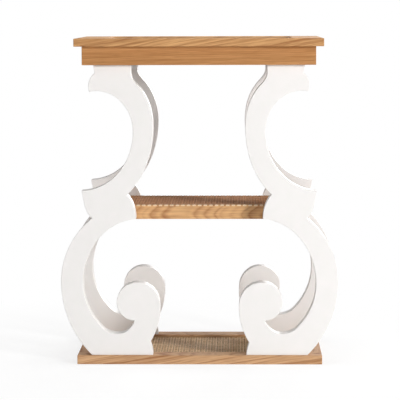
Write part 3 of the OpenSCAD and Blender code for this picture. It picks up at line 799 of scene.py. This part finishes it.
# The scroll's head is a spiral round its middle that widens from SCROLL_HOOK to SCROLL_NECK
shares = np.arange(2 * CURVE_STEPS) / (2 * CURVE_STEPS)
scroll_head = [scroll + (SCROLL_HOOK + t * (SCROLL_NECK - SCROLL_HOOK))
               * unit(t * (180 + HOOK_TURN) - HOOK_TURN) for t in shares]
neck_edge = edge_through([(scroll - (SCROLL_NECK, 0), -94), (neck, -58, -106), (foot_inner, -90)])
outer_edge = edge_through([
    (foot_outer, 45), (lower_outmost, 90), (waist_notch, 142, 41), (spur_out, 79, 178),
    (upper_hollow, 90), (ear_tip, -12, 73), (shoulder_out, 142),
])
leg_outline = ([(TAB_IN, TRAY_Z)] + inner_edge + scroll_head + neck_edge + [foot_inner]
               + outer_edge + [shoulder_out, (TAB_OUT, APRON_Z), (TAB_OUT, TRAY_Z)])
leg_outline = np.array([tuple(p) for p in leg_outline])


def pulled_in(outline, distance):
    """The outline moved into the wood by that distance, with its corners kept. The lean keeps a very
    sharp corner from moving in too far."""
    before, after = np.roll(outline, 1, 0), np.roll(outline, -1, 0)
    into = (outline - before) / np.linalg.norm(outline - before, axis=1)[:, None]
    out = (after - outline) / np.linalg.norm(after - outline, axis=1)[:, None]
    left_in = np.stack([-into[:, 1], into[:, 0]], 1)
    left_out = np.stack([-out[:, 1], out[:, 0]], 1)
    mean = left_in + left_out
    mean /= np.linalg.norm(mean, axis=1)[:, None]
    lean = np.maximum((mean * left_in).sum(1), LEAST_LEAN)
    return outline + mean * (distance / lean)[:, None]


def scroll_leg(name, side, end):
    """A leg board, rounded over on both faces. side is -1 on the left, and end is -1 at the front."""
    low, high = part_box(name)
    face_at = low.y if end < 0 else high.y
    thickness = high.y - low.y
    rounds = [math.radians(90 * k / ROUND_STEPS) for k in range(ROUND_STEPS + 1)]
    section = [(ROUND_OVER * (1 - math.sin(a)), ROUND_OVER * (1 - math.cos(a))) for a in rounds]
    profile = section + [(inset, thickness - depth) for inset, depth in section[::-1]]
    shape = bmesh.new()
    rings = []
    for inset, depth in profile:
        ring = pulled_in(leg_outline, inset)
        y = face_at - end * depth
        rings.append([shape.verts.new((side * x, y, z)) for x, z in ring])
    count = len(leg_outline)
    for ring, following in zip(rings, rings[1:]):
        for k in range(count):
            n = (k + 1) % count
            shape.faces.new((ring[k], ring[n], following[n], following[k]))
    shape.faces.new(rings[0])
    shape.faces.new(rings[-1])
    bmesh.ops.recalc_face_normals(shape, faces=shape.faces)
    return piece_of(name + "_board", shape)


TAB_SCREW_X = (TAB_IN + TAB_SCREW_INSET, TAB_OUT - TAB_SCREW_INSET)
TAB_SCREW_Z = (APRON_Z + TRAY_Z) / 2

paint, tree, shader = new_finish("satin_white_paint")
where = add(tree, "TexCoord").outputs["Object"]
# Sprayed paint, rubbed down: a soft unevenness 25 mm wide, and a fine skin of 1.5 mm
cloudy = add(tree, "TexNoise", None, {"Vector": where, "Scale": 40.0, "Detail": 2.0})
skin = add(tree, "TexNoise", None, {"Vector": where, "Scale": 650.0, "Detail": 2.0})
shade = add(tree, "MapRange", None, {"Value": cloudy.outputs["Fac"], "From Min": 0.3, "From Max": 0.7})
white = add(tree, "Mix", {"data_type": "RGBA"},
            {0: shade.outputs[0], 6: linear("#F5F2F0"), 7: linear("#F3F1EE")})
tree.links.new(white.outputs[2], shader.inputs["Base Color"])
gloss = add(tree, "MapRange", None, {"Value": cloudy.outputs["Fac"], "To Min": 0.44, "To Max": 0.48})
tree.links.new(gloss.outputs[0], shader.inputs["Roughness"])
relief = add(tree, "Bump", None, {"Height": skin.outputs["Fac"], "Strength": 0.06,
                                  "Distance": 0.2 * MM})
tree.links.new(relief.outputs[0], shader.inputs["Normal"])
shader.inputs["Specular IOR Level"].default_value = 0.4

for end, end_way in (("front", -1), ("back", 1)):
    for side, side_way in (("left", -1), ("right", 1)):
        node = "leg_" + end + "_" + side
        leg = scroll_leg(node, side_way, end_way)
        outwards = Matrix.Rotation(-end_way * math.pi / 2, 4, "X")
        head_y = end_way * (LEG_BACK + SCREW_SINK)
        places = [Matrix.Translation((side_way * x, head_y, TAB_SCREW_Z)) @ outwards
                  for x in TAB_SCREW_X]
        places += [Matrix.Translation((side_way * x, end_way * FOOT_SCREW_Y, SCREW_SINK))
                   for x in FOOT_SCREW_X]
        bored(leg, places)
        leg.data.materials.append(paint)
        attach(leg, "root")
        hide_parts(node)

# Shelf rails. The shelf is a box of four oak boards on edge, dowelled together and to the legs. The
# sides run from leg to leg. A step along their inner edges carries the panel.
STEP_CUT_OVER = 12 * MM

shelf_oak = oak("matt_oak_shelf", "#E0B17C", "#A97043", "#7E5530", ring=25.0, wander=14,
                taper=-0.8, fall=0.4)
panel_low, panel_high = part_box("shelf_panel")
for number, side in enumerate(("front", "back", "left", "right")):
    node = "shelf_" + side + "_rail"
    low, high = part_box(node)
    crosswise = side in ("front", "back")
    rail = board(node + "_board", low, high, glued="x- x+" if crosswise else "")
    step = bmesh.new()
    block(step, (panel_low.x - FIT, panel_low.y - FIT, panel_low.z),
          (panel_high.x + FIT, panel_high.y + FIT, high.z + STEP_CUT_OVER))
    carve(rail, step)
    if crosswise:
        sawn(rail, "x", heart=(0.009, 0.006), part=6 + number)
        rail.data.materials.append(shelf_oak)
    else:
        sawn(rail, "y", heart=(0.03, -0.06), slope=0.05, part=6 + number)
        rail.data.materials.append(base_oak)
    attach(rail, "root")
    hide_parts(node)

# Apron. Four oak boards on edge stand round the legs' tops and carry the tray. The front and back
# ones cover the ends of the sides, and dowels in the corners hold them.
apron_oak = oak("matt_oak_apron", "#C68F58", "#9E6732", "#7A4E2A", ring=3.0, wander=5)
for number, side in enumerate(("front", "back", "left", "right")):
    node = "apron_" + side
    low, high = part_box(node)
    crosswise = side in ("front", "back")
    apron = board(node + "_board", low, high, glued="z+" if crosswise else "y- y+ z+")
    sawn(apron, "x" if crosswise else "y", heart=(0.03, -0.09), slope=0.03, part=10 + number)
    apron.data.materials.append(apron_oak)
    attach(apron, "root")
    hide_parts(node)

# Cleats. Four beech strips inside the apron hold the tray down. They are planed and left bare, and
# each has two screws sunk into it from below.
CLEAT_EASE = 0.8 * MM
CLEAT_SINK = 3 * MM
CLEAT_SCREW_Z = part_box("cleat_front")[0].z + CLEAT_SINK
LONG_CLEAT_SCREW = (110 * MM, 164 * MM)
SHORT_CLEAT_SCREW = (247.5 * MM, 85 * MM)

beech, tree, shader = new_finish("bare_beech")
where = add(tree, "TexCoord").outputs["Object"]
# Beech is plain, with brown flecks 1 mm wide and 4 mm long
flecky = add(tree, "Mapping", None, {"Vector": where, "Scale": (250.0, 250.0, 1000.0)})
flecks = add(tree, "TexNoise", None, {"Vector": flecky.outputs[0], "Scale": 1.0, "Detail": 1.0})
fleck = add(tree, "MapRange", None, {"Value": flecks.outputs["Fac"], "From Min": 0.55,
                                     "From Max": 0.75})
bare = add(tree, "Mix", {"data_type": "RGBA"},
           {0: fleck.outputs[0], 6: linear("#DDBE94"), 7: linear("#BC9263")})
tree.links.new(bare.outputs[2], shader.inputs["Base Color"])
shader.inputs["Roughness"].default_value = 0.65
for side in ("front", "back", "left", "right"):
    node = "cleat_" + side
    low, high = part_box(node)
    cleat = board(node + "_strip", low, high, glued="z+", ease=CLEAT_EASE)
    way = -1 if side in ("front", "left") else 1
    if side in ("front", "back"):
        spots = [(end * LONG_CLEAT_SCREW[0], way * LONG_CLEAT_SCREW[1]) for end in (-1, 1)]
    else:
        spots = [(way * SHORT_CLEAT_SCREW[0], end * SHORT_CLEAT_SCREW[1]) for end in (-1, 1)]
    bored(cleat, [Matrix.Translation((x, y, CLEAT_SCREW_Z)) for x, y in spots])
    cleat.data.materials.append(beech)
    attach(cleat, "root")
    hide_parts(node)

# Tray rails. The tray's frame is made as the base's is, of oak, and reaches out past the apron. Its
# rails stand 5 mm above the cane, which makes the tray's rim.
tray_oak = oak("matt_oak_tray", "#D8A56D", "#9C6636", "#7E5530", ring=7.5, wander=13, fall=0.3)
# The back rail is paler than the others: partly a paler board, partly a painted highlight along the tray's
# rim
tray_oak_painted_lighter = oak("matt_oak_tray_back", "#E3B783", "#AC7D4E", "#825A36", ring=7.5, wander=13,
                     fall=0.3)
for number, (end, back) in enumerate((("front", False), ("back", True))):
    node = "tray_" + end + "_rail"
    rail = through_rail(node, "tray_panel", back)
    sawn(rail, "x", heart=(0.015, -0.05), slope=0.17, part=20 + number)
    rail.data.materials.append(tray_oak_painted_lighter if back else tray_oak)
    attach(rail, "root")
    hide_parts(node)
for number, (side, left) in enumerate((("left", True), ("right", False))):
    node = "tray_" + side + "_rail"
    rail = side_rail(node, "tray_panel", left)
    sawn(rail, "y", heart=(0.02, -0.05), slope=0.03, part=22 + number)
    rail.data.materials.append(tray_oak)
    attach(rail, "root")
    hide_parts(node)

# Screws. They are countersunk steel wood screws, zinc plated, with a cross recess in the head:
# eight up through the base, eight through the legs' tops and eight in the cleats.
CLEAT_SCREW_LENGTH = 27 * MM
HEAD_EDGE = 0.3 * MM
HEAD_H = 2.4 * MM
POINT_H = 4.5 * MM
POINT_R = 0.45 * MM
RECESS_SPAN = 4.6 * MM
RECESS_W = 1.0 * MM
RECESS_DEEP = 1.6 * MM


def screw_mesh(length):
    """One screw, its head's flat face at the origin and its point up, with a cross recess."""
    shape = bmesh.new()
    turned(shape, [(HEAD_R, 0), (HEAD_R, HEAD_EDGE), (SHANK_R, HEAD_H), (SHANK_R, length - POINT_H),
                   (POINT_R, length)], sides=32)
    bmesh.ops.recalc_face_normals(shape, faces=shape.faces)
    screw = piece_of("screw", shape)
    for turn in (0, math.pi / 2):
        slot = bmesh.new()
        spin = Matrix.Rotation(turn, 4, "Z")
        size = Matrix.Diagonal((RECESS_SPAN, RECESS_W, 2 * RECESS_DEEP, 1))
        bmesh.ops.create_cube(slot, size=1, matrix=spin @ size)
        carve(screw, slot)
    mesh = screw.data
    bpy.data.objects.remove(screw)
    return mesh


zinc, tree, shader = new_finish("zinc_plated_steel")
where = add(tree, "TexCoord").outputs["Object"]
# Plating looks bluish and cloudy, with patches 2 mm wide
patches = add(tree, "TexNoise", None, {"Vector": where, "Scale": 500.0, "Detail": 2.0})
bright = add(tree, "Mix", {"data_type": "RGBA"},
             {0: patches.outputs["Fac"], 6: linear("#C3C7CC"), 7: linear("#A9ADB2")})
tree.links.new(bright.outputs[2], shader.inputs["Base Color"])
shader.inputs["Metallic"].default_value = 1.0
wear_and_painted_highlight = add(tree, "MapRange", None, {"Value": patches.outputs["Fac"], "To Min": 0.28, "To Max": 0.45})
tree.links.new(wear_and_painted_highlight.outputs[0], shader.inputs["Roughness"])


def set_of_screws(node, length, places):
    """All the screws of one kind, as one piece."""
    single = screw_mesh(length)
    shape = bmesh.new()
    for place in places:
        copy = single.copy()
        copy.transform(place)
        shape.from_mesh(copy)
    screws = piece_of(node + "_set", shape)
    screws.data.set_sharp_from_angle(angle=SHARP_FROM)
    screws.data.materials.append(zinc)
    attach(screws, "root")
    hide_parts(node)


legs = [(side, end) for side in (-1, 1) for end in (-1, 1)]
set_of_screws("foot_screws", SCREW_LENGTH, [
    Matrix.Translation((side * x, end * FOOT_SCREW_Y, SCREW_SINK))
    for side, end in legs for x in FOOT_SCREW_X])
set_of_screws("leg_top_screws", SCREW_LENGTH, [
    Matrix.Translation((side * x, end * (LEG_BACK + SCREW_SINK), TAB_SCREW_Z))
    @ Matrix.Rotation(-end * math.pi / 2, 4, "X") for side, end in legs for x in TAB_SCREW_X])
set_of_screws("cleat_screws", CLEAT_SCREW_LENGTH, [
    Matrix.Translation((side * x, end * y, CLEAT_SCREW_Z))
    for side, end in legs for x, y in (LONG_CLEAT_SCREW, SHORT_CLEAT_SCREW)])

# Dowels. Round beech pegs are glued into the corners of the apron and the shelf, and between the
# shelf and the legs. None of them shows once the table is together.
for node in ("apron_dowels", "shelf_corner_dowels", "shelf_leg_dowels"):
    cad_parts[node].data.materials.clear()
    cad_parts[node].data.materials.append(beech)
